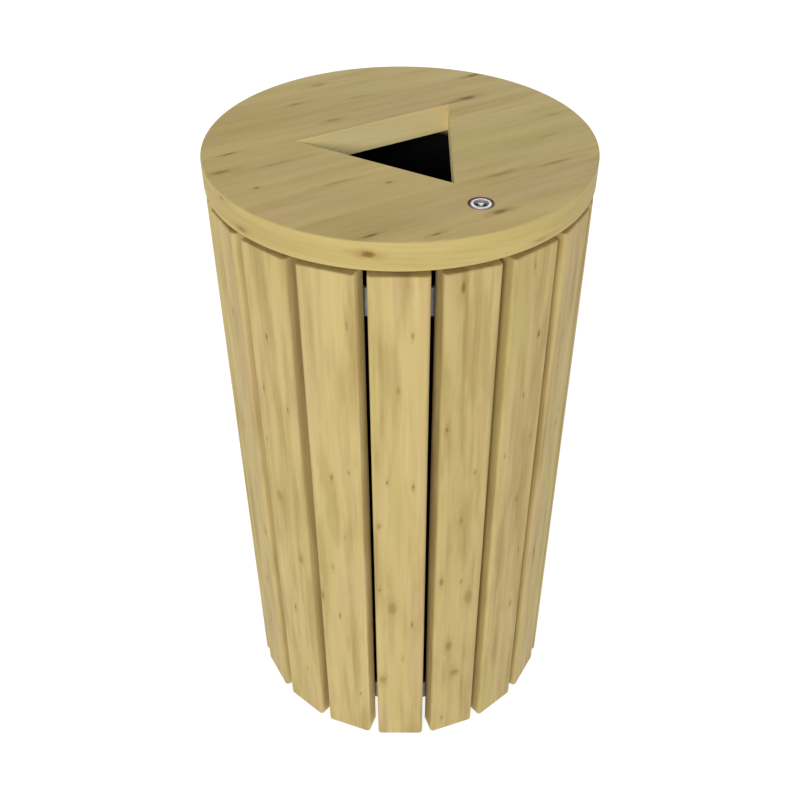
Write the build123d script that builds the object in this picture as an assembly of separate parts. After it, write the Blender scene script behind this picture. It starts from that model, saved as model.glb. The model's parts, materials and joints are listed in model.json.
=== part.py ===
from build123d import *
import math
import os

# Round slatted litter bin. Millimetres, +Z up, origin on the ground at the centre.
# -Y is the front, where the lock is, and the lid's hinge is at the back, +Y.

# Slats: planed boards that stand on the ground in a ring.
SLAT_COUNT = 18
SLAT_WIDTH = 72.0
SLAT_THICKNESS = 33.0
SLAT_LENGTH = 890.0
SLAT_OUTER = 248.0  # from the bin's axis to a slat's flat outer face
SLAT_ROUNDING = 5.0  # along the slat
SLAT_END_ROUNDING = 2.0
SLAT_INNER = SLAT_OUTER - SLAT_THICKNESS
SLAT_STEP = 360.0 / SLAT_COUNT

# Hoops: two flat bars rolled into rings, against the inside of the slats.
HOOP_WIDTH = 40.0
HOOP_THICKNESS = 5.0
HOOP_OUTER = SLAT_INNER
HOOP_INNER = HOOP_OUTER - HOOP_THICKNESS
BOTTOM_HOOP_Z = 50.0
TOP_HOOP_Z = 813.0
BOTTOM_SCREW_Z = BOTTOM_HOOP_Z + HOOP_WIDTH / 2
TOP_SCREW_Z = TOP_HOOP_Z + HOOP_WIDTH / 2

# Slat screws: driven from inside, through a hoop, into a slat.
SCREW_R = 3.0
SCREW_HEAD_R = 6.5
SCREW_HEAD = 3.5
SCREW_HEAD_ROUNDING = 1.4
SCREW_SOCKET_R = 2.0  # hexagon socket in the head, to its corners
SCREW_SOCKET = 1.8
SCREW_TIP = 4.0
SCREW_POINT_R = 0.4
SCREW_IN_WOOD = 22.0
SCREW_HOLE_R = 3.3
SCREW_BEDDING = 0.02  # how far a flat head beds into a curved wall
FIT = 0.05  # running clearance on radius

# Sheet brackets clamped under screw heads, inside the hoops.
SHEET = 3.0
FLANGE_OUTER = HOOP_INNER - FIT
FLANGE_INNER = FLANGE_OUTER - SHEET

# Floor plate.
FLOOR_Z = 52.0
FLOOR_R = HOOP_INNER - 0.2
TAB_TOP = 84.0
TAB_HALF_ANGLE = 5.0
TAB_STEP = 60.0
ANCHOR_PCD = 320.0
ANCHOR_COUNT = 4
ANCHOR_HOLE_R = 6.0
DRAIN_PCD = 140.0
DRAIN_COUNT = 6
DRAIN_HOLE_R = 5.0

# Lid: one glued round board with a three-cornered throw-in opening.
LID_R = 250.0
LID_THICKNESS = 37.0
LID_GAP = 8.0
LID_Z = SLAT_LENGTH + LID_GAP
LID_TOP = LID_Z + LID_THICKNESS
LID_ROUNDING = 2.0
OPENING_R = 130.5  # from the centre to a corner of the opening

# Hinge, in the gap under the lid's rear edge.
HINGE_Y = 246.2
HINGE_Z = SLAT_LENGTH + LID_GAP / 2
KNUCKLE_R = 3.6
PIN_R = 2.0
KNUCKLE_COUNT = 5
BARREL_LENGTH = 90.0
KNUCKLE_GAP = 0.4
PIN_HEAD_R = 3.0
PIN_HEAD = 1.2
LEAF = 2.0
LEAF_HALF_WIDTH = 45.0
LEAF_END_Y = 150.0
LEAF_CORNER_R = 10.0
LEAF_TO_BARREL = 0.6
BRACKET_HALF_WIDTH = 50.0
BRACKET_CORNER_R = 6.0
BRACKET_EDGE_Y = 239.0
BRACKET_HALF_ANGLE = 13.7

# Wood screws that go up into the lid.
LID_SCREW_R = 2.5
LID_SCREW_LENGTH = 20.0
LID_SCREW_HEAD_R = 4.75
LID_SCREW_HEAD = 2.4
LID_SCREW_HEAD_ROUNDING = 1.0
LID_SCREW_SOCKET_R = 1.6
LID_SCREW_SOCKET = 1.3
LID_SCREW_TIP = 3.0
LID_SCREW_POINT_R = 0.3
LID_SCREW_HOLE_R = 2.8
LEAF_SCREWS = [(x, y) for x in (-32.0, 32.0) for y in (165.0, 195.0, 225.0)]

# Straps across the grain, under the lid.
STRAP_X = 140.0
STRAP_WIDTH = 30.0
STRAP_THICKNESS = 5.0
STRAP_CORNER_R = 4.0
STRAP_FRONT_Y = -100.0
STRAP_BACK_Y = 120.0
STRAP_SCREW_Y = (-80.0, 10.0, 100.0)

# Lid rests with rubber buffers, on the top hoop.
REST_ANGLE = 50.0  # round from the front
REST_HALF_ANGLE = 4.0
REST_TOP = SLAT_LENGTH
REST_INNER = 190.0
REST_SHEET = 2.0
BUFFER_R = 8.0
BUFFER_ROUNDING = 1.5
BUFFER_CENTRE = FLANGE_INNER - BUFFER_R - 0.65
BUFFER_STEM_R = 3.0
BUFFER_BARB_R = 4.5
BUFFER_BARB = 4.0
BUFFER_BARB_ROUNDING = 2.0
BUFFER_CLEAR = 0.3

# Lock: a quarter-turn barrel for a three-cornered key.
LOCK_Y = -187.0
LOCK_RECESS_R = 15.5
LOCK_RECESS = 3.0
LOCK_FLANGE_R = 12.3
LOCK_FLANGE_ROUNDING = 1.0
LOCK_BARREL_R = 10.6
LOCK_BARREL_Z = SLAT_LENGTH + 0.6
LOCK_HOLE_R = 10.9
LOCK_MOUTH_R = 9.0
LOCK_MOUTH_Z = LID_TOP - 12.0
ROTOR_R = 6.0 - FIT
ROTOR_HEAD_R = LOCK_MOUTH_R - 0.1
ROTOR_HEAD = 3.0
ROTOR_STEP_Z = SLAT_LENGTH - 4.0
SQUARE = 8.0
KEY_TRIANGLE_R = 5.0
KEY_TRIANGLE_ROUNDING = 0.8
KEY_TRIANGLE_CHAMFER = 0.5
KEY_TRIANGLE_TOP = LID_TOP - 0.5
LOCK_NUT_FLATS = 26.0
LOCK_NUT = 7.0
CAM_Z = SLAT_LENGTH - 7.0
CAM_THICKNESS = 3.0
CAM_R = 8.0
CAM_REACH = 11.0
CAM_CLAMP_GAP = 0.3  # the square stops short of the cam's lower face, so that the screw clamps the cam
CAM_SCREW_R = 2.5
CAM_SCREW_HEAD_R = 5.5
CAM_SCREW_HEAD = 3.0
CAM_SCREW_HEAD_ROUNDING = 1.2
CAM_SCREW_SOCKET = 1.6
CAM_SCREW_LENGTH = 12.0

# Keeper: the lip that the cam turns under.
KEEPER_HALF_ANGLE = 13.7
KEEPER_TOP = SLAT_LENGTH
KEEPER_EDGE_Y = -198.0
KEEPER_HALF_WIDTH = 26.0

# Liner: a loose round can that stands on the floor plate.
LINER_R = 184.0
LINER_WALL = 2.0
LINER_FOOT_R = 8.0
LINER_Z = FLOOR_Z + SHEET + 0.3
LINER_TOP = 862.0
LINER_RIM = 4.0
LINER_RIM_HEIGHT = 7.0
LINER_RIM_ROUNDING = 2.5

# Liner handles: wire drop handles on the inside of the liner.
HANDLE_WIRE_R = 3.0
HANDLE_X = 160.0
HANDLE_Z = 800.0
HANDLE_LEG_Y = 44.0
HANDLE_DROP = 52.0
HANDLE_BEND_R = 9.0
HANDLE_STUB = 64.0
LUG_INSIDE = 54.5
LUG_THICKNESS = 5.0
LUG_R = 7.0

XY = Align.CENTER, Align.CENTER
UP = XY + (Align.MIN,)


def save(shape, name):
    export_step(shape, f"parts/{name}.step")


def round_bar(radius, z_low, z_high):
    """An upright cylinder on the bin's axis."""
    return Pos(0, 0, z_low) * Cylinder(radius, z_high - z_low, align=UP)


def tube(outer, inner, z_low, z_high):
    return round_bar(outer, z_low, z_high) - round_bar(inner, z_low - 1, z_high + 1)


def block(x_low, x_high, y_low, y_high, z_low, z_high):
    size = x_high - x_low, y_high - y_low, z_high - z_low
    return Pos(x_low, y_low, z_low) * Box(*size, align=(Align.MIN,) * 3)


def wedge(half_angle, z_low, z_high):
    """A slice of the bin that points to the back, +Y, for cutting a ring to a segment."""
    reach = 2 * LID_R
    x = reach * math.sin(math.radians(half_angle))
    y = reach * math.cos(math.radians(half_angle))
    outline = Polyline((0, 0), (x, y), (-x, y), close=True)
    return Pos(0, 0, z_low) * extrude(make_face(outline), z_high - z_low)


def flange(half_angle, z_low, z_high):
    """A curved upright flange against a hoop, centred on the back."""
    ring = tube(FLANGE_OUTER, FLANGE_INNER, z_low, z_high)
    return ring & wedge(half_angle, z_low, z_high)


def turned(shape, angle):
    """The shape turned about the bin's axis, anticlockwise seen from above."""
    return Rot(0, 0, angle) * shape


def outward(radius, z, angle):
    """A place on a circle about the axis whose local Z points outward; angle is round from the back."""
    return Rot(0, 0, angle) * Pos(0, radius, z) * Rot(-90, 0, 0)


def slat_angle(index):
    """The middle of a slat, round from the back; no slat is centred on the back or the front."""
    return (index + 0.5) * SLAT_STEP


def slat_holes(index, radius):
    """Both screws' holes through a slat's station, as cylinders."""
    hole = Cylinder(radius, SCREW_IN_WOOD + 1 + 2 * HOOP_THICKNESS, align=UP)
    start = SLAT_INNER - 2 * HOOP_THICKNESS
    return [outward(start, z, slat_angle(index)) * hole for z in (BOTTOM_SCREW_Z, TOP_SCREW_Z)]


def make_slat(index):
    body = Pos(0, SLAT_INNER, 0) * Box(
        SLAT_WIDTH, SLAT_THICKNESS, SLAT_LENGTH, align=(Align.CENTER, Align.MIN, Align.MIN)
    )
    body = fillet(body.edges().filter_by(Axis.Z), SLAT_ROUNDING)
    ends = body.edges().group_by(Axis.Z)
    body = fillet(ends[0] + ends[-1], SLAT_END_ROUNDING)
    return turned(body, slat_angle(index)) - slat_holes(index, SCREW_R + FIT)


def make_hoop(z_low):
    ring = tube(HOOP_OUTER, HOOP_INNER, z_low, z_low + HOOP_WIDTH)
    holes = [hole for index in range(SLAT_COUNT) for hole in slat_holes(index, SCREW_HOLE_R)]
    return ring - [hole for hole in holes if abs(hole.center().Z - z_low) < HOOP_WIDTH]


def slat_screw(wall_radius):
    """A pan-head screw along local Z whose head bears on a round wall, and how far out it bears."""
    bearing = math.sqrt(wall_radius**2 - SCREW_HEAD_R**2) - SCREW_BEDDING
    length = SLAT_INNER + SCREW_IN_WOOD - bearing
    head = Pos(0, 0, -SCREW_HEAD) * Cylinder(SCREW_HEAD_R, SCREW_HEAD, align=UP)
    head = fillet(head.edges().group_by(Axis.Z)[0], SCREW_HEAD_ROUNDING)
    shank = Cylinder(SCREW_R, length - SCREW_TIP, align=UP)
    tip = Pos(0, 0, length - SCREW_TIP) * Cone(SCREW_R, SCREW_POINT_R, SCREW_TIP, align=UP)
    socket = Pos(0, 0, -SCREW_HEAD) * extrude(RegularPolygon(SCREW_SOCKET_R, 6), SCREW_SOCKET)
    return (head + shank + tip - socket), bearing


def make_slat_screws(z, clamped):
    """Eighteen screws; those that clamp a bracket too start one sheet further in."""
    screws = []
    for index in range(SLAT_COUNT):
        wall = FLANGE_INNER if clamped(slat_angle(index)) else HOOP_INNER
        screw, bearing = slat_screw(wall)
        screws.append(outward(bearing, z, slat_angle(index)) * screw)
    return Compound(screws)


def on_a_floor_tab(angle):
    return (angle - SLAT_STEP / 2) % TAB_STEP < 1


def on_a_top_bracket(angle):
    """The hinge bracket and the keeper each take two slats' screws, and each lid rest takes one."""
    from_back = min(angle, 360 - angle)
    from_front = 180 - from_back
    beside_middle = min(from_back, from_front) < SLAT_STEP
    return beside_middle or abs(from_front - REST_ANGLE) < 1


def ring_of_holes(count, pcd, radius, z_low, z_high):
    return [
        turned(Pos(0, pcd / 2, 0) * round_bar(radius, z_low - 1, z_high + 1), (i + 0.5) * 360 / count)
        for i in range(count)
    ]


def screw_holes_in(shape, stations, z, radius=SCREW_HOLE_R):
    hole = Cylinder(radius, 40)
    return shape - [outward(FLANGE_INNER, z, station) * hole for station in stations]


def make_floor_plate():
    plate = round_bar(FLOOR_R, FLOOR_Z, FLOOR_Z + SHEET)
    plate -= ring_of_holes(ANCHOR_COUNT, ANCHOR_PCD, ANCHOR_HOLE_R, FLOOR_Z, FLOOR_Z + SHEET)
    plate -= ring_of_holes(DRAIN_COUNT, DRAIN_PCD, DRAIN_HOLE_R, FLOOR_Z, FLOOR_Z + SHEET)
    stations = [slat_angle(i) for i in range(SLAT_COUNT) if on_a_floor_tab(slat_angle(i))]
    for station in stations:
        plate += turned(flange(TAB_HALF_ANGLE, FLOOR_Z + SHEET / 2, TAB_TOP), station)
    return screw_holes_in(plate, stations, BOTTOM_SCREW_Z)


def knuckle_span(index):
    """A knuckle's ends along X, with half the side gap left at each."""
    length = BARREL_LENGTH / KNUCKLE_COUNT
    start = -BARREL_LENGTH / 2 + index * length
    return start + KNUCKLE_GAP / 2, start + length - KNUCKLE_GAP / 2


def along_x(radius, x_low, x_high):
    """A cylinder on the hinge's axis."""
    bar = Cylinder(radius, x_high - x_low, align=UP)
    return Pos(x_low, HINGE_Y, HINGE_Z) * Rot(0, 90, 0) * bar


def with_knuckles(leaf, leaf_low, own, others):
    """Join a leaf to its own knuckles, and notch it round the other leaf's."""
    clear = KNUCKLE_R + KNUCKLE_GAP
    for index in others:
        low, high = knuckle_span(index)
        leaf -= along_x(clear, low - KNUCKLE_GAP, high + KNUCKLE_GAP)
        leaf -= block(
            low - KNUCKLE_GAP, high + KNUCKLE_GAP, HINGE_Y - clear, LID_R, leaf_low - 1, leaf_low + LEAF + 1
        )
    for index in own:
        low, high = knuckle_span(index)
        leaf += along_x(KNUCKLE_R, low, high)
        leaf += block(low, high, BRACKET_EDGE_Y - 1, HINGE_Y, leaf_low, leaf_low + LEAF)
    return leaf - along_x(PIN_R + FIT, -LEAF_HALF_WIDTH - 1, LEAF_HALF_WIDTH + 1)


def make_hinge_bracket():
    """The fixed leaf: it lies on two slats' ends and turns down inside the top hoop."""
    upright = flange(BRACKET_HALF_ANGLE, TOP_HOOP_Z, SLAT_LENGTH + LEAF)
    deck = block(
        -BRACKET_HALF_WIDTH, BRACKET_HALF_WIDTH, 0, BRACKET_EDGE_Y, SLAT_LENGTH, SLAT_LENGTH + LEAF
    )
    deck -= round_bar(FLANGE_INNER, SLAT_LENGTH - 1, SLAT_LENGTH + LEAF + 1)
    deck = fillet(deck.edges().filter_by(Axis.Z).group_by(Axis.Y)[-1], BRACKET_CORNER_R)
    bracket = with_knuckles(deck + upright, SLAT_LENGTH, (0, 2, 4), (1, 3))
    stations = (-SLAT_STEP / 2, SLAT_STEP / 2)
    return screw_holes_in(bracket, stations, TOP_SCREW_Z)


def make_hinge_leaf():
    """The moving leaf, screwed up into the underside of the lid."""
    low = LID_Z - LEAF
    leaf_edge = HINGE_Y - KNUCKLE_R - LEAF_TO_BARREL
    leaf = block(-LEAF_HALF_WIDTH, LEAF_HALF_WIDTH, LEAF_END_Y, leaf_edge, low, LID_Z)
    leaf = fillet(leaf.edges().filter_by(Axis.Z).group_by(Axis.Y)[0], LEAF_CORNER_R)
    leaf = with_knuckles(leaf, low, (1, 3), (0, 2, 4))
    hole = round_bar(LID_SCREW_HOLE_R, low - 1, LID_Z + 1)
    return leaf - [Pos(x, y, 0) * hole for x, y in LEAF_SCREWS]


def make_hinge_pin():
    half = BARREL_LENGTH / 2
    pin = along_x(PIN_R, -half, half)
    heads = [along_x(PIN_HEAD_R, half, half + PIN_HEAD), along_x(PIN_HEAD_R, -half - PIN_HEAD, -half)]
    return pin + heads


def lid_screw(x, y, seat_z):
    """A pan-head wood screw, point up, with its head under the given height."""
    head = Cylinder(LID_SCREW_HEAD_R, LID_SCREW_HEAD, align=UP)
    head = fillet(head.edges().group_by(Axis.Z)[0], LID_SCREW_HEAD_ROUNDING)
    socket = extrude(RegularPolygon(LID_SCREW_SOCKET_R, 6), LID_SCREW_SOCKET)
    straight = LID_Z + LID_SCREW_LENGTH - seat_z - LID_SCREW_TIP
    shank = Pos(0, 0, LID_SCREW_HEAD) * Cylinder(LID_SCREW_R, straight, align=UP)
    tip = Cone(LID_SCREW_R, LID_SCREW_POINT_R, LID_SCREW_TIP, align=UP)
    tip = Pos(0, 0, LID_SCREW_HEAD + straight) * tip
    return Pos(x, y, seat_z - LID_SCREW_HEAD) * (head + shank + tip - socket)


def strap_screw_places():
    return [(side * STRAP_X, y) for side in (-1, 1) for y in STRAP_SCREW_Y]


def opening_cut(z_low, z_high):
    """The three-cornered opening: one corner to the front, one flat side to the back."""
    corners = [
        (OPENING_R * math.sin(math.radians(a)), -OPENING_R * math.cos(math.radians(a)))
        for a in (0, 120, 240)
    ]
    return Pos(0, 0, z_low) * extrude(make_face(Polyline(*corners, close=True)), z_high - z_low)


def make_lid_panel():
    lid = round_bar(LID_R, LID_Z, LID_TOP)
    lid = fillet(lid.edges().filter_by(GeomType.CIRCLE), LID_ROUNDING)
    lid -= opening_cut(LID_Z - 1, LID_TOP + 1)
    lock = Pos(0, LOCK_Y, 0)
    lid -= lock * round_bar(LOCK_RECESS_R, LID_TOP - LOCK_RECESS, LID_TOP + 1)
    lid -= lock * round_bar(LOCK_HOLE_R, LID_Z - 1, LID_TOP + 1)
    pilot = round_bar(LID_SCREW_R + FIT, LID_Z - 1, LID_Z + LID_SCREW_LENGTH + 1)
    return lid - [Pos(x, y, 0) * pilot for x, y in LEAF_SCREWS + strap_screw_places()]


def make_strap(side):
    low, high = side * STRAP_X - STRAP_WIDTH / 2, side * STRAP_X + STRAP_WIDTH / 2
    strap = block(low, high, STRAP_FRONT_Y, STRAP_BACK_Y, LID_Z - STRAP_THICKNESS, LID_Z)
    strap = fillet(strap.edges().filter_by(Axis.Z), STRAP_CORNER_R)
    hole = round_bar(LID_SCREW_HOLE_R, LID_Z - STRAP_THICKNESS - 1, LID_Z + 1)
    return strap - [Pos(side * STRAP_X, y, 0) * hole for y in STRAP_SCREW_Y]


def make_lid_rest(side):
    upright = flange(REST_HALF_ANGLE, TOP_HOOP_Z, REST_TOP)
    shelf = tube(FLANGE_OUTER, REST_INNER, REST_TOP - REST_SHEET, REST_TOP)
    shelf &= wedge(REST_HALF_ANGLE, REST_TOP - REST_SHEET, REST_TOP)
    hole = round_bar(BUFFER_STEM_R + FIT, REST_TOP - REST_SHEET - 1, REST_TOP + 1)
    shelf -= Pos(0, BUFFER_CENTRE, 0) * hole
    rest = turned(upright + shelf, 180 - side * REST_ANGLE)
    return screw_holes_in(rest, [180 - side * REST_ANGLE], TOP_SCREW_Z)


def make_buffer(side):
    """A rubber button whose barbed stem is pushed through the rest."""
    button = round_bar(BUFFER_R, REST_TOP, LID_Z - BUFFER_CLEAR)
    button = fillet(button.edges().group_by(Axis.Z)[-1], BUFFER_ROUNDING)
    under = REST_TOP - REST_SHEET - FIT
    stem = round_bar(BUFFER_STEM_R, under - 1, REST_TOP)
    barb = round_bar(BUFFER_BARB_R, under - BUFFER_BARB, under)
    barb = fillet(barb.edges().group_by(Axis.Z)[0], BUFFER_BARB_ROUNDING)
    return turned(Pos(0, BUFFER_CENTRE, 0) * (button + stem + barb), 180 - side * REST_ANGLE)


def at_lock(shape):
    return Pos(0, LOCK_Y, 0) * shape


def make_lock_housing():
    collar = round_bar(LOCK_FLANGE_R, LID_TOP - LOCK_RECESS, LID_TOP)
    collar = fillet(collar.edges().group_by(Axis.Z)[-1], LOCK_FLANGE_ROUNDING)
    housing = collar + round_bar(LOCK_BARREL_R, LOCK_BARREL_Z, LID_TOP - LOCK_RECESS)
    housing -= round_bar(LOCK_MOUTH_R, LOCK_MOUTH_Z, LID_TOP + 1)
    housing -= round_bar(ROTOR_R + FIT, LOCK_BARREL_Z - 1, LOCK_MOUTH_Z + 1)
    return at_lock(housing)


def make_lock_nut():
    nut = extrude(RegularPolygon(LOCK_NUT_FLATS / 2, 6, major_radius=False), LOCK_NUT)
    nut = Pos(0, 0, LID_Z - LOCK_NUT) * nut
    return at_lock(nut - round_bar(LOCK_BARREL_R + FIT, LID_Z - LOCK_NUT - 1, LID_Z + 1))


def square_bar(side, z_low, z_high):
    return Pos(0, 0, z_low) * Box(side, side, z_high - z_low, align=UP)


def make_lock_rotor():
    """The turning core: key triangle on a disc, shaft, and a square end for the cam."""
    disc_low, disc_top = LOCK_MOUTH_Z + 2 * FIT, LOCK_MOUTH_Z + ROTOR_HEAD
    disc = round_bar(ROTOR_HEAD_R, disc_low, disc_top)
    triangle = extrude(RegularPolygon(KEY_TRIANGLE_R, 3), KEY_TRIANGLE_TOP - disc_top)
    triangle = fillet(triangle.edges().filter_by(Axis.Z), KEY_TRIANGLE_ROUNDING)
    triangle = chamfer(triangle.edges().group_by(Axis.Z)[-1], KEY_TRIANGLE_CHAMFER)
    rotor = disc + Pos(0, 0, disc_top) * triangle
    rotor += round_bar(ROTOR_R, ROTOR_STEP_Z + FIT, disc_low)
    rotor += square_bar(SQUARE, CAM_Z + CAM_CLAMP_GAP, ROTOR_STEP_Z + FIT)
    rotor -= round_bar(CAM_SCREW_R + FIT, CAM_Z - 1, CAM_Z + CAM_SCREW_LENGTH + 1)
    return at_lock(rotor)


def make_lock_cam():
    """At rest the cam points to +X, clear of the keeper; a quarter turn brings it to the front."""
    hub = round_bar(CAM_R, CAM_Z, CAM_Z + CAM_THICKNESS)
    tip = Pos(CAM_REACH, 0, 0) * hub
    bridge = block(0, CAM_REACH, -CAM_R, CAM_R, CAM_Z, CAM_Z + CAM_THICKNESS)
    cam = hub + tip + bridge - square_bar(SQUARE + 2 * FIT, CAM_Z - 1, CAM_Z + CAM_THICKNESS + 1)
    return at_lock(cam)


def make_cam_screw():
    head = round_bar(CAM_SCREW_HEAD_R, CAM_Z - CAM_SCREW_HEAD, CAM_Z)
    head = fillet(head.edges().group_by(Axis.Z)[0], CAM_SCREW_HEAD_ROUNDING)
    head -= Pos(0, 0, CAM_Z - CAM_SCREW_HEAD) * extrude(RegularPolygon(SCREW_SOCKET_R, 6), CAM_SCREW_SOCKET)
    return at_lock(head + round_bar(CAM_SCREW_R, CAM_Z, CAM_Z + CAM_SCREW_LENGTH))


def make_keeper():
    """A curved bracket on the top hoop with a lip above the cam."""
    upright = flange(KEEPER_HALF_ANGLE, TOP_HOOP_Z, KEEPER_TOP)
    lip = round_bar(FLANGE_INNER + 1, KEEPER_TOP - SHEET, KEEPER_TOP)
    lip &= block(
        -KEEPER_HALF_WIDTH, KEEPER_HALF_WIDTH, -KEEPER_EDGE_Y, LID_R, KEEPER_TOP - SHEET, KEEPER_TOP
    )
    keeper = turned(upright + lip, 180)
    return screw_holes_in(keeper, (180 - SLAT_STEP / 2, 180 + SLAT_STEP / 2), TOP_SCREW_Z)


def make_liner():
    can = round_bar(LINER_R, LINER_Z, LINER_TOP)
    can = fillet(can.edges().group_by(Axis.Z)[0], LINER_FOOT_R)
    inside = round_bar(LINER_R - LINER_WALL, LINER_Z + LINER_WALL, LINER_TOP + 1)
    inside = fillet(inside.edges().group_by(Axis.Z)[0], LINER_FOOT_R - LINER_WALL)
    rim = tube(LINER_R + LINER_RIM, LINER_R - LINER_WALL, LINER_TOP - LINER_RIM_HEIGHT, LINER_TOP)
    outer_edges = rim.edges().filter_by(GeomType.CIRCLE).group_by(lambda edge: edge.radius)[-1]
    return can - inside + fillet(outer_edges, LINER_RIM_ROUNDING)


def make_handle_lugs(side):
    """Two eyes riveted to the liner's wall, which carry the handle's ends."""
    eyes = []
    low, high = HANDLE_Z - LUG_R, HANDLE_Z + LUG_R
    for end in (-1, 1):
        y = end * (LUG_INSIDE + LUG_THICKNESS / 2)
        across = Pos(HANDLE_X, y, HANDLE_Z) * Rot(90, 0, 0)
        arm = block(HANDLE_X, LINER_R, y - LUG_THICKNESS / 2, y + LUG_THICKNESS / 2, low, high)
        arm &= round_bar(LINER_R - LINER_WALL - FIT, low - 1, high + 1)
        bore = across * Cylinder(HANDLE_WIRE_R + FIT, 3 * LUG_THICKNESS)
        eyes.append(across * Cylinder(LUG_R, LUG_THICKNESS) + arm - bore)
    eyes = Compound(eyes)
    return eyes if side > 0 else turned(eyes, 180)


def make_handle(side):
    """A bent wire that hangs from its two lugs."""
    bottom = HANDLE_Z - HANDLE_DROP
    route = FilletPolyline(
        (HANDLE_X, -HANDLE_STUB, HANDLE_Z),
        (HANDLE_X, -HANDLE_LEG_Y, HANDLE_Z),
        (HANDLE_X, -HANDLE_LEG_Y, bottom),
        (HANDLE_X, HANDLE_LEG_Y, bottom),
        (HANDLE_X, HANDLE_LEG_Y, HANDLE_Z),
        (HANDLE_X, HANDLE_STUB, HANDLE_Z),
        radius=HANDLE_BEND_R,
    )
    section = Plane(origin=route @ 0, z_dir=route % 0) * Circle(HANDLE_WIRE_R)
    wire = sweep(section, path=route)
    return wire if side > 0 else turned(wire, 180)


def build_surround():
    for index in range(SLAT_COUNT):
        save(make_slat(index), f"slat_{index + 1:02d}")
    save(make_hoop(BOTTOM_HOOP_Z), "bottom_hoop")
    save(make_hoop(TOP_HOOP_Z), "top_hoop")
    save(make_slat_screws(BOTTOM_SCREW_Z, on_a_floor_tab), "bottom_hoop_screws")
    save(make_slat_screws(TOP_SCREW_Z, on_a_top_bracket), "top_hoop_screws")
    save(make_floor_plate(), "floor_plate")
    save(make_hinge_bracket(), "hinge_bracket")
    save(make_hinge_pin(), "hinge_pin")
    save(make_keeper(), "lock_keeper")
    for side, name in ((-1, "left"), (1, "right")):
        save(make_lid_rest(side), f"lid_rest_{name}")
        save(make_buffer(side), f"rest_buffer_{name}")


def build_lid():
    save(make_lid_panel(), "lid_panel")
    save(make_hinge_leaf(), "hinge_leaf")
    save(Compound([lid_screw(x, y, LID_Z - LEAF) for x, y in LEAF_SCREWS]), "hinge_leaf_screws")
    save(make_strap(-1), "lid_strap_left")
    save(make_strap(1), "lid_strap_right")
    strap_seat = LID_Z - STRAP_THICKNESS
    save(Compound([lid_screw(x, y, strap_seat) for x, y in strap_screw_places()]), "lid_strap_screws")
    save(make_lock_housing(), "lock_housing")
    save(make_lock_nut(), "lock_nut")
    save(make_lock_rotor(), "lock_rotor")
    save(make_lock_cam(), "lock_cam")
    save(make_cam_screw(), "lock_cam_screw")


def build_liner():
    save(make_liner(), "liner")
    for side, name in ((-1, "left"), (1, "right")):
        save(make_handle_lugs(side), f"handle_lugs_{name}")
        save(make_handle(side), f"liner_handle_{name}")


os.makedirs("parts", exist_ok=True)
build_surround()
build_lid()
build_liner()
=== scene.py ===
import json
import math
import random

import bmesh
import bpy
from mathutils import Euler, Matrix, Vector


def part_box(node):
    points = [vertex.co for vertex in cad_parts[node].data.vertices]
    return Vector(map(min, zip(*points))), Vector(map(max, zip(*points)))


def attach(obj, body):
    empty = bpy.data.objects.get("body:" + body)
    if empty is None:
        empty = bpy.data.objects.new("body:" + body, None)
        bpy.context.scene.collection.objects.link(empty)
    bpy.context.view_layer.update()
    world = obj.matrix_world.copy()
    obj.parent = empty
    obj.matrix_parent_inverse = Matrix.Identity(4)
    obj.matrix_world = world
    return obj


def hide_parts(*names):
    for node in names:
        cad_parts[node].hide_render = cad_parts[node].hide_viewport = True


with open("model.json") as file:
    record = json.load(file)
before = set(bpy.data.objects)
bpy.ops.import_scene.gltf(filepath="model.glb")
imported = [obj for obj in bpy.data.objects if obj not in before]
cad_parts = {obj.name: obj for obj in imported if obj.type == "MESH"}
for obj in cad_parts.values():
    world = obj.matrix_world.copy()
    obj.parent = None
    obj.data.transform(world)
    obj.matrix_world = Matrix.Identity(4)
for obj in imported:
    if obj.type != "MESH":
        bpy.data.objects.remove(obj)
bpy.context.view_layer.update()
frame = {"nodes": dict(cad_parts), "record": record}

MM = 0.001

# Sizes of the wooden pieces, from the frame. slat_05 faces along -X, so its box is its cross-section.
SLAT_LOW, SLAT_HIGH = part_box("slat_05")
SLAT_THICKNESS = SLAT_HIGH[0] - SLAT_LOW[0]
SLAT_WIDTH = SLAT_HIGH[1] - SLAT_LOW[1]
SLAT_LENGTH = SLAT_HIGH[2] - SLAT_LOW[2]
SLAT_MIDDLE = abs(SLAT_LOW[0] + SLAT_HIGH[0]) / 2
SLAT_COUNT = sum(name.startswith("slat_") for name in frame["nodes"])
SLAT_STEP = 360 / SLAT_COUNT
SLAT_ROUNDING = 5 * MM
SLAT_END_ROUNDING = 2 * MM

LID_LOW, LID_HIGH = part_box("lid_panel")
LID_TOP = LID_HIGH[2]
LID_THICKNESS = LID_TOP - LID_LOW[2]
LID_RADIUS = 250 * MM
LID_ROUNDING = 2 * MM
LID_CUT_EDGE = 0.6 * MM
OPENING_CORNER = 130.5 * MM
LOCK_LOW, LOCK_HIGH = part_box("lock_housing")
LOCK_Y = (LOCK_LOW[1] + LOCK_HIGH[1]) / 2
LOCK_SUNK_RADIUS = 15.5 * MM
LOCK_SUNK_DEPTH = 3 * MM
LOCK_HOLE_RADIUS = 10.9 * MM

# Camera: a standing person's eye, a little to the left of the lock.
CAMERA_AZIMUTH = -29.69
CAMERA_DISTANCE = 1.2
CAMERA_HEIGHT = LID_TOP + 0.561
CAMERA_PITCH = 39.36
CAMERA_YAW = 0.028  # to the left of the bin's axis
CAMERA_ROLL = -0.125
CAMERA_LENS = 45.69

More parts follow.
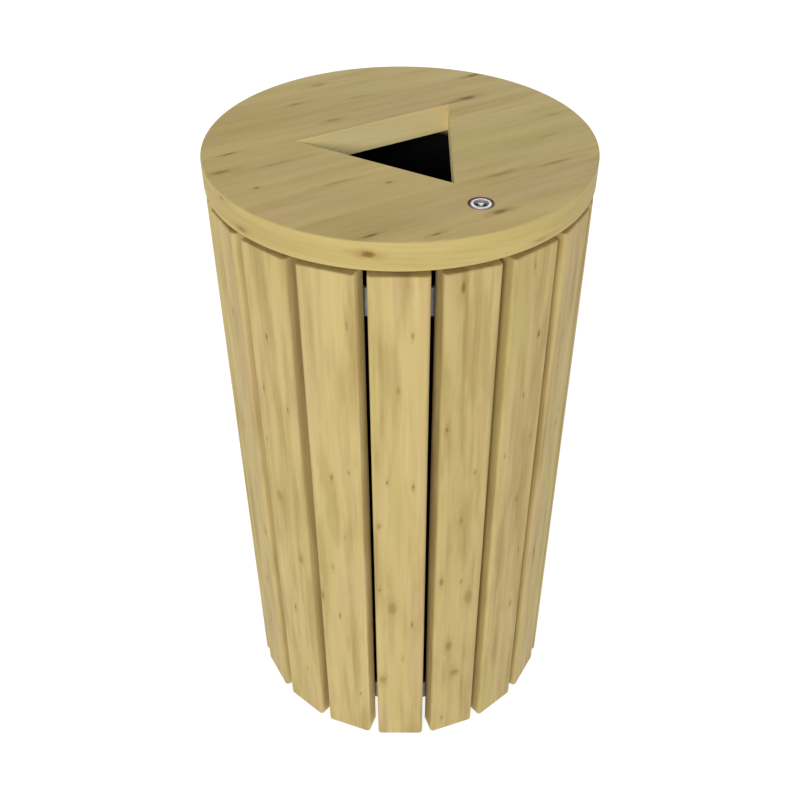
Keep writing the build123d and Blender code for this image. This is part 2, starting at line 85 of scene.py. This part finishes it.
# Marks in the wood, each (along the grain, across it, length, width, strength), in millimetres.
# On a slat, "along" is down from its top and "across" is to the right of its middle, seen from outside.
SLAT_MARKS = {
    5: [(127, 3, 14, 5, 0.5), (515, 24, 20, 10, 0.4), (330, -12, 12, 4, 0.4), (640, 6, 26, 12, 0.3)],
    6: [
        (125, -5, 12, 5, 0.7), (213, -21, 12, 4, 0.6), (228, 21, 10, 4, 0.6), (305, -26, 8, 4, 0.4),
        (403, -13, 30, 14, 0.35), (513, 20, 24, 12, 0.4), (638, -3, 16, 5, 0.6), (785, 10, 14, 5, 0.3),
    ],
    7: [
        (321, -5, 12, 5, 0.6), (305, 20, 8, 4, 0.5), (430, 10, 8, 3, 0.4), (606, -5, 13, 4, 0.6),
        (570, -31, 26, 7, 0.5), (789, 23, 12, 5, 0.4), (70, 26, 20, 5, 0.35), (500, -12, 16, 8, 0.25),
    ],
    8: [
        (80, 16, 10, 5, 0.5), (161, -1, 16, 6, 0.35), (314, -16, 8, 4, 0.6), (322, 18, 13, 5, 0.6),
        (396, -28, 14, 8, 0.4), (568, -11, 38, 18, 0.42), (606, 18, 13, 4, 0.6), (527, -29, 10, 6, 0.4),
        (742, -27, 24, 16, 0.38), (690, 4, 22, 6, 0.2),
    ],
    9: [
        (20, -13, 22, 7, 0.7), (228, -27, 12, 5, 0.6), (315, 15, 10, 5, 0.4), (399, -1, 22, 8, 0.35),
        (517, -27, 20, 8, 0.55), (527, 4, 12, 6, 0.4), (567, 17, 44, 18, 0.40), (671, -11, 28, 15, 0.42),
        (742, 1, 20, 20, 0.42), (859, -18, 14, 6, 0.4),
    ],
    10: [
        (125, 16, 13, 6, 0.7), (20, -2, 14, 5, 0.4), (213, -1, 12, 4, 0.5), (295, 21, 12, 4, 0.5),
        (305, -26, 8, 4, 0.4), (403, 5, 28, 9, 0.35), (638, 15, 16, 6, 0.55), (520, 21, 16, 5, 0.4),
    ],
    11: [(300, 12, 10, 4, 0.4), (321, 8, 12, 5, 0.4), (565, -18, 30, 12, 0.4), (160, -8, 18, 6, 0.3)],
}
SLAT_SHADES = {7: 0.94, 8: 0.94, 9: 0.90, 10: 0.92, 11: 0.93}
# On the lid, "along" is X, "across" is Y.
LID_MARKS = [
    (146, 71, 36, 13, 0.85), (122, 69, 44, 6, 0.55), (-45, 98, 28, 12, 0.35), (-65, 169, 28, 8, 0.38),
    (-202, 74, 26, 4, 0.85), (-229, 33, 34, 10, 0.55), (-66, -90, 9, 6, 0.55), (-207, -25, 8, 6, 0.60),
    (-144, -188, 24, 6, 0.85), (-80, -221, 16, 5, 0.75), (8, -214, 26, 10, 0.80), (197, 135, 30, 9, 0.80),
    (-9, 214, 30, 12, 0.35), (134, -146, 64, 8, 0.38), (60, -138, 56, 10, 0.32), (-160, 20, 60, 8, 0.25),
    (-120, -60, 50, 8, 0.25), (215, -30, 30, 8, 0.25), (170, -80, 44, 6, 0.22), (20, 150, 60, 9, 0.22),
]
# On the lid's rim, (degrees round from the front, + to the right; down from the top; length, height, strength).
RIM_MARKS = [(-37.7, 16, 22, 11, 0.9), (-76.7, 28, 26, 10, 0.5), (-86.0, 5, 18, 6, 0.5), (10.0, 30, 30, 6, 0.3)]
# Painted light and shade: how much lighter or darker than the boards' faces single faces are painted.
EDGE_PAINTED_LIGHT = {5: 1.20, 6: 1.22, 7: 1.68}  # by slat, for its right edge
# painted light on the opening's walls
OPENING_PAINTED_LIGHT = 1.68
OPENING_SIDE_PAINTED_LIGHT = 1.70
# painted shade at the back of the lock's ring, painted light at its front
SUNK_PAINTED_SHADE_AND_LIGHT = (0.28, 1.20)  # the back of the lock's ring, its front
RIM_OFFSET = 5.0  # keeps the rim's own coordinates clear of the top's

# Wood colours, linear.
SPRUCE_LIGHT = (0.540, 0.418, 0.165, 1)
SPRUCE_DARK = (0.385, 0.275, 0.095, 1)
SPRUCE_TAN = (0.520, 0.378, 0.168, 1)
SPRUCE_GREEN = (0.495, 0.396, 0.140, 1)
SPRUCE_PALE = (0.620, 0.490, 0.215, 1)
# the paler colour that faces painted lighter take on: painted light
SPRUCE_PAINTED_LIGHT = (0.495, 0.425, 0.225, 1)
KNOT_BROWN = (0.170, 0.084, 0.014, 1)
KNOT_OLIVE = (0.350, 0.225, 0.055, 1)


class Graph:
    """Short ways to add and join a material's nodes. An input is a value or another node's output."""

    def __init__(self, name):
        self.material = bpy.data.materials.new(name)
        self.material.use_nodes = True
        self.tree = self.material.node_tree
        self.shader = self.tree.nodes["Principled BSDF"]

    def put(self, socket, value):
        if isinstance(value, bpy.types.NodeSocket):
            self.tree.links.new(value, socket)
        else:
            socket.default_value = value

    def node(self, kind, inputs=(), **settings):
        made = self.tree.nodes.new("ShaderNode" + kind)
        for key, value in settings.items():
            setattr(made, key, value)
        for key, value in dict(inputs).items():
            self.put(made.inputs[key], value)
        return made

    def shade(self, **inputs):
        for key, value in inputs.items():
            self.put(self.shader.inputs[key.replace("_", " ")], value)

    def math(self, operation, a, b=0.0, c=0.0):
        return self.node("Math", {0: a, 1: b, 2: c}, operation=operation).outputs[0]

    def vector(self, operation, a, b=(0, 0, 0)):
        made = self.node("VectorMath", {0: a, 1: b}, operation=operation)
        return made.outputs["Value" if operation == "LENGTH" else "Vector"]

    def split(self, vector):
        return self.node("SeparateXYZ", {0: vector}).outputs

    def join(self, x, y, z):
        return self.node("CombineXYZ", {0: x, 1: y, 2: z}).outputs[0]

    def noise(self, vector, scale, detail=2.0, roughness=0.5):
        inputs = {"Vector": vector, "Scale": scale, "Detail": detail, "Roughness": roughness}
        return self.node("TexNoise", inputs).outputs["Fac"]

    def ramp(self, value, low, high, to_low=0.0, to_high=1.0):
        inputs = {0: value, 1: low, 2: high, 3: to_low, 4: to_high}
        return self.node("MapRange", inputs, interpolation_type="SMOOTHSTEP").outputs[0]

    def mix(self, factor, a, b, blend="MIX"):
        made = self.node("Mix", {"Factor": factor}, data_type="RGBA", blend_type=blend)
        self.put(made.inputs[6], a)
        self.put(made.inputs[7], b)
        return made.outputs[2]

    def bump(self, height, distance, strength=1.0, normal=None):
        inputs = {"Height": height, "Distance": distance, "Strength": strength}
        if normal:
            inputs["Normal"] = normal
        return self.node("Bump", inputs).outputs[0]


def knot_field(graph, place, marks):
    """The strongest mark at each point: its dark core, and the stained wood drawn out along the grain round it."""
    ragged = graph.noise(place, 420, 3, 0.6)
    drift = graph.noise(place, 60, 2)
    core, stain = 0.0, 0.0
    for centre, half_size, strength in marks:
        offset = graph.vector("SUBTRACT", place, centre)
        scaled = graph.vector("MULTIPLY", offset, tuple(1 / s for s in half_size))
        smeared = graph.vector("MULTIPLY", offset, tuple(1 / (k * s) for k, s in zip((1.7, 1.7, 2.6), half_size)))
        near = graph.math("MULTIPLY_ADD", ragged, 1.1, graph.vector("LENGTH", scaled))
        far = graph.math("MULTIPLY_ADD", drift, 1.2, graph.vector("LENGTH", smeared))
        core = graph.math("MAXIMUM", graph.ramp(near, 1.55, 0.85, 0.0, strength), core)
        stain = graph.math("MAXIMUM", graph.ramp(far, 1.7, 0.7, 0.0, strength), stain)
    return core, stain


def spruce(name, marks, pith, lean, offset, shade=1.0, zone=1.0):
    """Planed spruce. It reads the board's own coordinates: x across, y through, z along the grain.

    pith is the tree's centre beside the board, and lean how far the pith drifts per metre of board.
    zone widens the broad bands. The mesh's tone attribute paints light and shade onto single faces.
    """
    graph = Graph(name)
    place = graph.node("Attribute", attribute_name="grain").outputs["Vector"]
    end = graph.node("Attribute", attribute_name="end_grain").outputs["Fac"]
    # tone: painted light and shade for single faces
    tone = graph.node("Attribute", attribute_name="tone").outputs["Fac"]
    shifted = graph.vector("ADD", place, (offset * 0.37, offset * 0.53, offset))
    fibre = graph.vector("MULTIPLY", shifted, (1, 1, 0.035))
    drawn_out = graph.vector("MULTIPLY", shifted, (1, 1, 0.13))
    core, stain = knot_field(graph, place, marks)

    x, y, z = graph.split(place)
    from_pith_x = graph.math("MULTIPLY_ADD", z, lean[0], graph.math("SUBTRACT", x, pith[0]))
    from_pith_y = graph.math("MULTIPLY_ADD", z, lean[1], graph.math("SUBTRACT", y, pith[1]))
    radius = graph.vector("LENGTH", graph.join(from_pith_x, from_pith_y, 0.0))
    wander = graph.math("MULTIPLY", graph.noise(drawn_out, 16, 2), 14 * MM)
    radius = graph.math("ADD", radius, wander)
    radius = graph.math("MULTIPLY_ADD", stain, 5 * MM, radius)
    season = graph.math("FRACT", graph.math("DIVIDE", radius, 3.6 * MM))
    late = graph.math("MULTIPLY", graph.ramp(season, 0.25, 0.85), graph.ramp(season, 1.0, 0.88))
    ring_depth = graph.ramp(graph.noise(fibre, 45, 1), 0.35, 0.7, 0.05, 0.5)
    late = graph.math("MULTIPLY", late, ring_depth)

    hue = graph.noise(drawn_out, 22 / zone, 2)
    patch = graph.noise(drawn_out, 48 / zone, 3, 0.55)
    band = graph.noise(fibre, 85 / zone, 2, 0.55)
    streak = graph.noise(fibre, 260, 3, 0.6)
    hair = graph.noise(fibre, 900, 2, 0.7)

    colour = graph.mix(graph.ramp(hue, 0.32, 0.5), SPRUCE_GREEN, SPRUCE_LIGHT)
    colour = graph.mix(graph.ramp(hue, 0.5, 0.66), colour, SPRUCE_TAN)
    # faces with a tone above 1 turn paler: painted light
    colour = graph.mix(graph.ramp(tone, 1.0, 1.6), colour, SPRUCE_PAINTED_LIGHT)
    depth = graph.math("MULTIPLY_ADD", late, 0.30, graph.ramp(patch, 0.42, 0.66, 0.0, 0.58 / zone))
    depth = graph.math("ADD", depth, graph.ramp(band, 0.48, 0.70, 0.0, 0.44 / zone))
    depth = graph.math("ADD", depth, graph.ramp(streak, 0.5, 0.8, 0.0, 0.20))
    depth = graph.math("MULTIPLY_ADD", end, 0.16, depth)
    colour = graph.mix(depth, colour, SPRUCE_DARK)
    colour = graph.mix(graph.ramp(band, 0.44, 0.26, 0.0, 0.40), colour, SPRUCE_PALE)
    colour = graph.mix(graph.math("MULTIPLY", stain, 0.78), colour, KNOT_OLIVE)
    colour = graph.mix(graph.math("MULTIPLY", core, 0.95), colour, KNOT_BROWN)
    colour = graph.mix(1.0, colour, (shade, shade, shade, 1), "MULTIPLY")
    # tone multiplies the colour: painted light and painted shade on single faces
    colour = graph.vector("MULTIPLY", colour, graph.join(tone, tone, tone))

    relief = graph.math("MULTIPLY_ADD", late, 0.4, graph.math("MULTIPLY", hair, 0.25))
    relief = graph.math("MULTIPLY_ADD", streak, 0.3, relief)
    relief = graph.math("MULTIPLY_ADD", core, -0.8, relief)
    graph.shade(
        Base_Color=colour,
        Roughness=graph.ramp(streak, 0.3, 0.7, 0.56, 0.70),
        Normal=graph.bump(relief, 0.20 * MM, 0.7),
    )
    graph.shader.inputs["Specular IOR Level"].default_value = 0.25
    return graph.material


def add_attribute(mesh, name, kind, domain, values):
    attribute = mesh.attributes.new(name, kind, domain)
    attribute.data.foreach_set("vector" if kind == "FLOAT_VECTOR" else "value", values)


def mark_grain(mesh, grain_axis, to_board, painted_light_of):
    """Stores each corner's place in the board, how far its face looks along the grain, and its face's tone, the
    painted light or shade of that face.
    """
    places, ends, tones = [], [], []
    for face in mesh.polygons:
        along = abs(face.normal.dot(grain_axis)) ** 4
        tone = painted_light_of(face)
        for index in face.vertices:
            places.extend(to_board(mesh.vertices[index].co, face))
            ends.append(along)
            tones.append(tone)
    add_attribute(mesh, "grain", "FLOAT_VECTOR", "CORNER", places)
    add_attribute(mesh, "end_grain", "FLOAT", "CORNER", ends)
    add_attribute(mesh, "tone", "FLOAT", "CORNER", tones)


def new_piece(name, mesh, material, body, node):
    piece = bpy.data.objects.new(name, mesh)
    bpy.context.scene.collection.objects.link(piece)
    mesh.materials.append(material)
    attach(piece, body)
    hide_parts(node)
    return piece


def rounded_outline(width, depth, radius, corner_steps, side_steps):
    """A rectangle with round corners, anticlockwise, with points along its long sides too."""
    points = []
    corners = [(1, 1, 0), (-1, 1, 90), (-1, -1, 180), (1, -1, 270)]
    for index, (sx, sy, start) in enumerate(corners):
        centre = Vector((sx * (width / 2 - radius), sy * (depth / 2 - radius)))
        for step in range(corner_steps + 1):
            angle = math.radians(start + 90 * step / corner_steps)
            points.append(centre + radius * Vector((math.cos(angle), math.sin(angle))))
        next_x, next_y, next_start = corners[(index + 1) % 4]
        goal = Vector((next_x * (width / 2 - radius), next_y * (depth / 2 - radius)))
        angle = math.radians(next_start)
        goal += radius * Vector((math.cos(angle), math.sin(angle)))
        count = side_steps if abs(goal.x - points[-1].x) > abs(goal.y - points[-1].y) else side_steps // 2
        last = points[-1].copy()
        points += [last.lerp(goal, step / count) for step in range(1, count)]
    return points


def slat_mesh(name, rng):
    """A planed board, upright, with rounded edges and ends, a trace of twist and uneven rounding."""
    corner_steps, side_steps, rings = 5, 8, 60
    r = SLAT_ROUNDING
    twist = math.radians(rng.uniform(-0.15, 0.15))
    bow = rng.uniform(-0.25, 0.25) * MM
    end = SLAT_END_ROUNDING
    levels = [(end * (1 - math.cos(a)), end * (1 - math.sin(a))) for a in
              [math.radians(90 * i / corner_steps) for i in range(corner_steps + 1)]]
    body = [(end + (SLAT_LENGTH - 2 * end) * i / rings, 0.0) for i in range(1, rings)]
    top = [(SLAT_LENGTH - z, inset) for z, inset in reversed(levels)]
    made = bmesh.new()
    loops = []
    for z, inset in levels + body + top:
        share = z / SLAT_LENGTH - 0.5
        turn = Matrix.Rotation(twist * share, 2)
        shift = Vector((0, bow * (1 - 4 * share * share) - bow))
        radius = r * (1 + 0.05 * math.sin(9 * z + twist * 900)) - inset
        outline = rounded_outline(
            SLAT_WIDTH - 2 * inset - 0.1 * MM, SLAT_THICKNESS - 2 * inset - 0.1 * MM,
            radius, corner_steps, side_steps
        )
        loops.append([made.verts.new((*(turn @ p + shift), z)) for p in outline])
    for low, high in zip(loops, loops[1:]):
        for i in range(len(low)):
            j = (i + 1) % len(low)
            made.faces.new((low[i], low[j], high[j], high[i]))
    made.faces.new(reversed(loops[0]))
    made.faces.new(loops[-1])
    mesh = bpy.data.meshes.new(name)
    made.to_mesh(mesh)
    made.free()
    return mesh


def smooth(piece, angle=40):
    """Smooth shading with normals held flat on the large faces."""
    piece.data.shade_smooth()
    piece.data.set_sharp_from_angle(angle=math.radians(angle))
    weighted = piece.modifiers.new("normals", "WEIGHTED_NORMAL")
    weighted.keep_sharp = True


def random_marks(rng):
    """A few small flecks and one or two soft knots, for a slat with no marks of its own."""
    marks = []
    for _ in range(rng.randint(4, 6)):
        marks.append((rng.uniform(30, 860), rng.uniform(-28, 28), rng.uniform(8, 16), rng.uniform(3, 5), 0.55))
    for _ in range(rng.randint(1, 3)):
        marks.append((rng.uniform(60, 830), rng.uniform(-26, 26), rng.uniform(20, 32), rng.uniform(9, 14), 0.4))
    return marks


def slat_knots(marks):
    """Marks to centres and half sizes in the slat's own coordinates; its front face looks along +y."""
    front = SLAT_THICKNESS / 2
    return [
        (
            (-across * MM, front, SLAT_LENGTH - down * MM),
            (width / 2 * MM, 9 * MM, length / 2 * MM),
            strength,
        )
        for down, across, length, width, strength in marks
    ]


def slat_painted_light(number):
    """The tone of each face of a slat: its right edge is painted lighter than its front, painted light in the
    shade of the gap between slats.
    """
    edge = EDGE_PAINTED_LIGHT.get(number, 1.0)
    # painted light on the right edge, where the gap between slats is in shade
    return lambda face: 1 + (edge - 1) * max(-face.normal.x, 0) ** 4


def add_slats():
    for number in range(1, SLAT_COUNT + 1):
        rng = random.Random(number * 17)
        node = f"slat_{number:02d}"
        marks = SLAT_MARKS.get(number) or random_marks(rng)
        material = spruce(
            "spruce_" + node,
            slat_knots(marks),
            pith=(rng.uniform(-30, 30) * MM, rng.uniform(-90, -45) * MM),
            lean=(rng.uniform(-0.02, 0.02), rng.uniform(-0.03, 0.03)),
            offset=number * 1.37,
            shade=SLAT_SHADES.get(number, rng.uniform(0.90, 0.96)),
        )
        mesh = slat_mesh(node + "_board", rng)
        turn = Matrix.Rotation(math.radians((number - 0.5) * SLAT_STEP), 4, "Z")
        into_place = turn @ Matrix.Translation((0, SLAT_MIDDLE, 0))
        mark_grain(mesh, Vector((0, 0, 1)), lambda place, face: place, slat_painted_light(number))
        mesh.transform(into_place)
        piece = new_piece(node + "_board", mesh, material, "surround", node)
        smooth(piece)


def prism(outline, z_low, z_high):
    """A closed upright prism over an outline, as a hidden object for cutting."""
    made = bmesh.new()
    low = [made.verts.new((x, y, z_low)) for x, y in outline]
    high = [made.verts.new((x, y, z_high)) for x, y in outline]
    made.faces.new(reversed(low))
    made.faces.new(high)
    for i in range(len(outline)):
        j = (i + 1) % len(outline)
        made.faces.new((low[i], low[j], high[j], high[i]))
    mesh = bpy.data.meshes.new("prism")
    made.to_mesh(mesh)
    made.free()
    made_object = bpy.data.objects.new("prism", mesh)
    bpy.context.scene.collection.objects.link(made_object)
    return made_object


def circle(radius, count, y=0.0):
    return [
        (radius * math.cos(2 * math.pi * i / count), y + radius * math.sin(2 * math.pi * i / count))
        for i in range(count)
    ]


def applied(piece):
    """The piece's mesh with its modifiers applied."""
    graph = bpy.context.evaluated_depsgraph_get()
    return bpy.data.meshes.new_from_object(piece.evaluated_get(graph))


def soften(piece, name, width, segments):
    """Rounds the piece's sharp edges."""
    bevel = piece.modifiers.new(name, "BEVEL")
    bevel.width = width
    bevel.segments = segments
    bevel.limit_method = "ANGLE"
    bevel.angle_limit = math.radians(50)


def lid_mesh():
    """The round board with its opening, the sunk ring and hole for the lock, and softened edges."""
    margin = 5 * MM
    board = prism(circle(LID_RADIUS - 0.05 * MM, 288), LID_LOW[2], LID_TOP)
    opening = [
        (OPENING_CORNER * math.sin(math.radians(a)), -OPENING_CORNER * math.cos(math.radians(a)))
        for a in (0, 120, 240)
    ]
    cutters = [
        prism(opening, LID_LOW[2] - margin, LID_TOP + margin),
        prism(circle(LOCK_SUNK_RADIUS, 72, LOCK_Y), LID_TOP - LOCK_SUNK_DEPTH, LID_TOP + margin),
        prism(circle(LOCK_HOLE_RADIUS, 72, LOCK_Y), LID_LOW[2] - margin, LID_TOP + margin),
    ]
    soften(board, "rounding", LID_ROUNDING, 5)
    for cutter in cutters:
        cut = board.modifiers.new("cut", "BOOLEAN")
        cut.operation = "DIFFERENCE"
        cut.solver = "EXACT"
        cut.object = cutter
    soften(board, "edge", LID_CUT_EDGE, 2)
    mesh = applied(board)
    for helper in [board] + cutters:
        bpy.data.objects.remove(helper)
    mesh.name = "lid_board"
    return mesh


def round_from_front(place):
    return math.atan2(place.x, -place.y)


def on_rim(face):
    return abs(face.normal.z) < 0.7 and face.center.xy.length > LID_RADIUS - 2 * LID_ROUNDING


def to_lid_board(place, face):
    """x across the grain, y through the board, z along the grain; the rim's grain runs round it."""
    if not on_rim(face):
        return Vector((place.y, place.z - LID_TOP, place.x))
    middle = round_from_front(face.center)
    past_middle = (round_from_front(place) - middle + math.pi) % (2 * math.pi) - math.pi
    return Vector((place.z - LID_TOP, 0, RIM_OFFSET + LID_RADIUS * (middle + past_middle)))


def lid_painted_light_and_shade(face):
    """Painted light and shade: the opening's walls are painted lighter, and the back of the lock's sunk ring is
    painted dark as shade, its front lighter.
    """
    if abs(face.normal.z) < 0.7 and face.center.xy.length < OPENING_CORNER:
        return OPENING_SIDE_PAINTED_LIGHT if abs(face.normal.x) > 0.5 else OPENING_PAINTED_LIGHT
    # painted shade at the back of the lock's sunk ring, painted light at its front
    from_lock = (face.center - Vector((0, LOCK_Y, 0))).xy
    if from_lock.length < LOCK_SUNK_RADIUS + LID_CUT_EDGE and face.center.z < LID_TOP - LID_CUT_EDGE / 2:
        back, front = SUNK_PAINTED_SHADE_AND_LIGHT
        return back + (front - back) * min(max(-from_lock.y / LOCK_SUNK_RADIUS, 0), 1)
    return 1.0


def lid_knots():
    knots = [
        ((across * MM, 0, along * MM), (width / 2 * MM, 7 * MM, length / 2 * MM), strength)
        for along, across, length, width, strength in LID_MARKS
    ]
    for angle, down, length, height, strength in RIM_MARKS:
        centre = (-down * MM, 0, RIM_OFFSET + LID_RADIUS * math.radians(angle))
        knots.append((centre, (height / 2 * MM, 7 * MM, length / 2 * MM), strength))
    return knots


def add_lid():
    material = spruce(
        "spruce_lid", lid_knots(), pith=(60 * MM, -160 * MM), lean=(0.05, 0.02), offset=31.0, shade=0.98,
        zone=1.6
    )
    mesh = lid_mesh()
    mark_grain(mesh, Vector((1, 0, 0)), to_lid_board, lid_painted_light_and_shade)
    piece = new_piece("lid_board", mesh, material, "lid", "lid_panel")
    smooth(piece)


def object_place(graph):
    return graph.node("TexCoord").outputs["Object"]


def galvanised():
    """Hot-dip zinc: large soft spangles, dull, with a faint grainy skin."""
    graph = Graph("galvanised_steel_look")
    place = object_place(graph)
    spangle = graph.node("TexVoronoi", {"Vector": place, "Scale": 95.0}).outputs["Color"]
    tone = graph.split(spangle)[0]
    cloud = graph.noise(place, 14, 3)
    grain = graph.noise(place, 900, 2)
    colour = graph.mix(graph.ramp(tone, 0.0, 1.0), (0.32, 0.325, 0.32, 1), (0.44, 0.445, 0.44, 1))
    colour = graph.mix(graph.ramp(cloud, 0.4, 0.7, 0.0, 0.5), colour, (0.38, 0.375, 0.35, 1))
    graph.shade(
        Base_Color=colour,
        Roughness=graph.math("MULTIPLY_ADD", tone, 0.16, 0.46),
        Normal=graph.bump(graph.math("MULTIPLY_ADD", grain, 0.5, tone), 0.05 * MM, 0.5),
    )
    graph.shader.inputs["Metallic"].default_value = 0.85
    return graph.material


def lock_painted_shade(graph, place):
    """Painted shade down in the lock's recess, between the lid's two faces: the metal is darkened below the lid's
    top.
    """
    height = graph.split(place)[2]
    deep = graph.ramp(height, LID_TOP - 2.5 * MM, LID_TOP - 7 * MM, 0.0, 0.85)
    return graph.math("MULTIPLY", deep, graph.ramp(height, LID_LOW[2] - 1 * MM, LID_LOW[2]))


def plated(name, base, dark, roughness, metallic=1.0, painted_shade=None):
    """Bright plated metal with fine handling marks, and painted shade where that function says."""
    graph = Graph(name)
    place = object_place(graph)
    cloud = graph.noise(place, 120, 4, 0.6)
    rub = graph.noise(graph.vector("MULTIPLY", place, (1, 6, 1)), 1500, 2)
    colour = graph.mix(graph.ramp(cloud, 0.35, 0.75), base, dark)
    # painted shade: the colour goes dark where the given function says
    if painted_shade:
        colour = graph.mix(painted_shade(graph, place), colour, (0.022, 0.021, 0.020, 1))
    graph.shade(
        Base_Color=colour,
        Roughness=graph.math("MULTIPLY_ADD", cloud, 0.18, roughness),
        Normal=graph.bump(rub, 0.02 * MM, 0.5),
    )
    graph.shader.inputs["Metallic"].default_value = metallic
    return graph.material


def black_liner():
    """Matt black moulded surface, dusty in patches, with faint upright rub marks."""
    graph = Graph("liner_black_look")
    place = object_place(graph)
    dust = graph.noise(place, 9, 5, 0.65)
    rub = graph.noise(graph.vector("MULTIPLY", place, (1, 1, 0.05)), 240, 3)
    skin = graph.noise(place, 1600, 2)
    colour = graph.mix(graph.ramp(dust, 0.45, 0.8, 0.0, 0.5), (0.004, 0.004, 0.004, 1), (0.009, 0.0085, 0.008, 1))
    colour = graph.mix(graph.ramp(rub, 0.6, 0.8, 0.0, 0.3), colour, (0.013, 0.013, 0.012, 1))
    graph.shade(
        Base_Color=colour,
        Roughness=graph.ramp(dust, 0.3, 0.7, 0.62, 0.82),
        Normal=graph.bump(skin, 0.05 * MM, 0.5),
    )
    graph.shader.inputs["Specular IOR Level"].default_value = 0.08
    return graph.material


def rubber():
    graph = Graph("buffer_rubber_look")
    place = object_place(graph)
    bloom = graph.noise(place, 160, 4)
    graph.shade(
        Base_Color=graph.mix(graph.ramp(bloom, 0.4, 0.8), (0.016, 0.016, 0.016, 1), (0.040, 0.039, 0.037, 1)),
        Roughness=graph.ramp(bloom, 0.3, 0.7, 0.65, 0.85),
        Normal=graph.bump(graph.noise(place, 2500, 2), 0.03 * MM, 0.6),
    )
    return graph.material


def dress_cad_nodes():
    """Gives every CAD node that stays in view the look of its material slot."""
    looks = {
        "galvanised_steel": galvanised(),
        "fasteners": plated("fasteners_look", (0.62, 0.62, 0.58, 1), (0.48, 0.47, 0.42, 1), 0.24),
        "lock_metal": plated(
            "lock_metal_look", (0.74, 0.72, 0.72, 1), (0.55, 0.53, 0.53, 1), 0.38, 0.7, lock_painted_shade
        ),
        "handle_wire": plated("handle_wire_look", (0.60, 0.61, 0.62, 1), (0.48, 0.48, 0.48, 1), 0.28),
        "liner_black": black_liner(),
        "buffer_rubber": rubber(),
    }
    for part in frame["record"]["subparts"]:
        look = looks.get(part["material_slot"])
        if look:
            for slot in frame["nodes"][part["node"]].material_slots:
                slot.material = look


def add_camera():
    data = bpy.data.cameras.new("camera")
    data.lens = CAMERA_LENS
    data.sensor_width = 36
    camera = bpy.data.objects.new("camera", data)
    azimuth = math.radians(CAMERA_AZIMUTH)
    camera.location = (
        CAMERA_DISTANCE * math.sin(azimuth), -CAMERA_DISTANCE * math.cos(azimuth), CAMERA_HEIGHT
    )
    turn = Matrix.Rotation(azimuth + math.radians(CAMERA_YAW), 4, "Z")
    facing = turn @ Matrix.Rotation(math.radians(90 - CAMERA_PITCH), 4, "X")
    roll = Matrix.Rotation(math.radians(CAMERA_ROLL), 4, "Z")
    camera.rotation_euler = (facing @ roll).to_euler()
    bpy.context.scene.collection.objects.link(camera)
    bpy.context.scene.camera = camera


def add_area_light(name, azimuth, elevation, distance, size, power):
    """A soft lamp aimed at the middle of the bin; azimuth is round from the front, + to the right."""
    data = bpy.data.lights.new(name, "AREA")
    data.shape = "DISK"
    data.size = size
    data.energy = power
    lamp = bpy.data.objects.new(name, data)
    a, e = math.radians(azimuth), math.radians(elevation)
    back = Vector((math.sin(a) * math.cos(e), -math.cos(a) * math.cos(e), math.sin(e)))
    lamp.location = Vector((0, 0, SLAT_LENGTH / 2)) + distance * back
    lamp.rotation_euler = back.to_track_quat("Z", "Y").to_euler()
    bpy.context.scene.collection.objects.link(lamp)


def add_studio():
    """A white room: even light all round, a soft key from the front left, and a pale floor."""
    world = bpy.data.worlds.new("studio")
    world.use_nodes = True
    background = world.node_tree.nodes["Background"]
    background.inputs["Color"].default_value = (1, 1, 1, 1)
    background.inputs["Strength"].default_value = 0.60
    bpy.context.scene.world = world
    bpy.context.scene.view_settings.view_transform = "Standard"
    add_area_light("key", CAMERA_AZIMUTH - 14, 27, 5.0, 1.3, 106)
    add_area_light("back_fill", CAMERA_AZIMUTH + 170, 30, 4.0, 2.5, 18)

    graph = Graph("floor_look")
    place = object_place(graph)
    tone = graph.noise(place, 3, 2)
    graph.shade(
        Base_Color=graph.mix(tone, (0.33, 0.33, 0.33, 1), (0.37, 0.37, 0.37, 1)),
        Roughness=0.9,
    )
    graph.shader.inputs["Emission Color"].default_value = (1, 1, 1, 1)
    graph.shader.inputs["Emission Strength"].default_value = 0.80
    half = 12.0
    mesh = bpy.data.meshes.new("floor")
    mesh.from_pydata([(-half, -half, 0), (half, -half, 0), (half, half, 0), (-half, half, 0)], [], [(0, 1, 2, 3)])
    mesh.materials.append(graph.material)
    floor = bpy.data.objects.new("floor", mesh)
    bpy.context.scene.collection.objects.link(floor)


add_camera()
add_slats()
add_lid()
dress_cad_nodes()
add_studio()
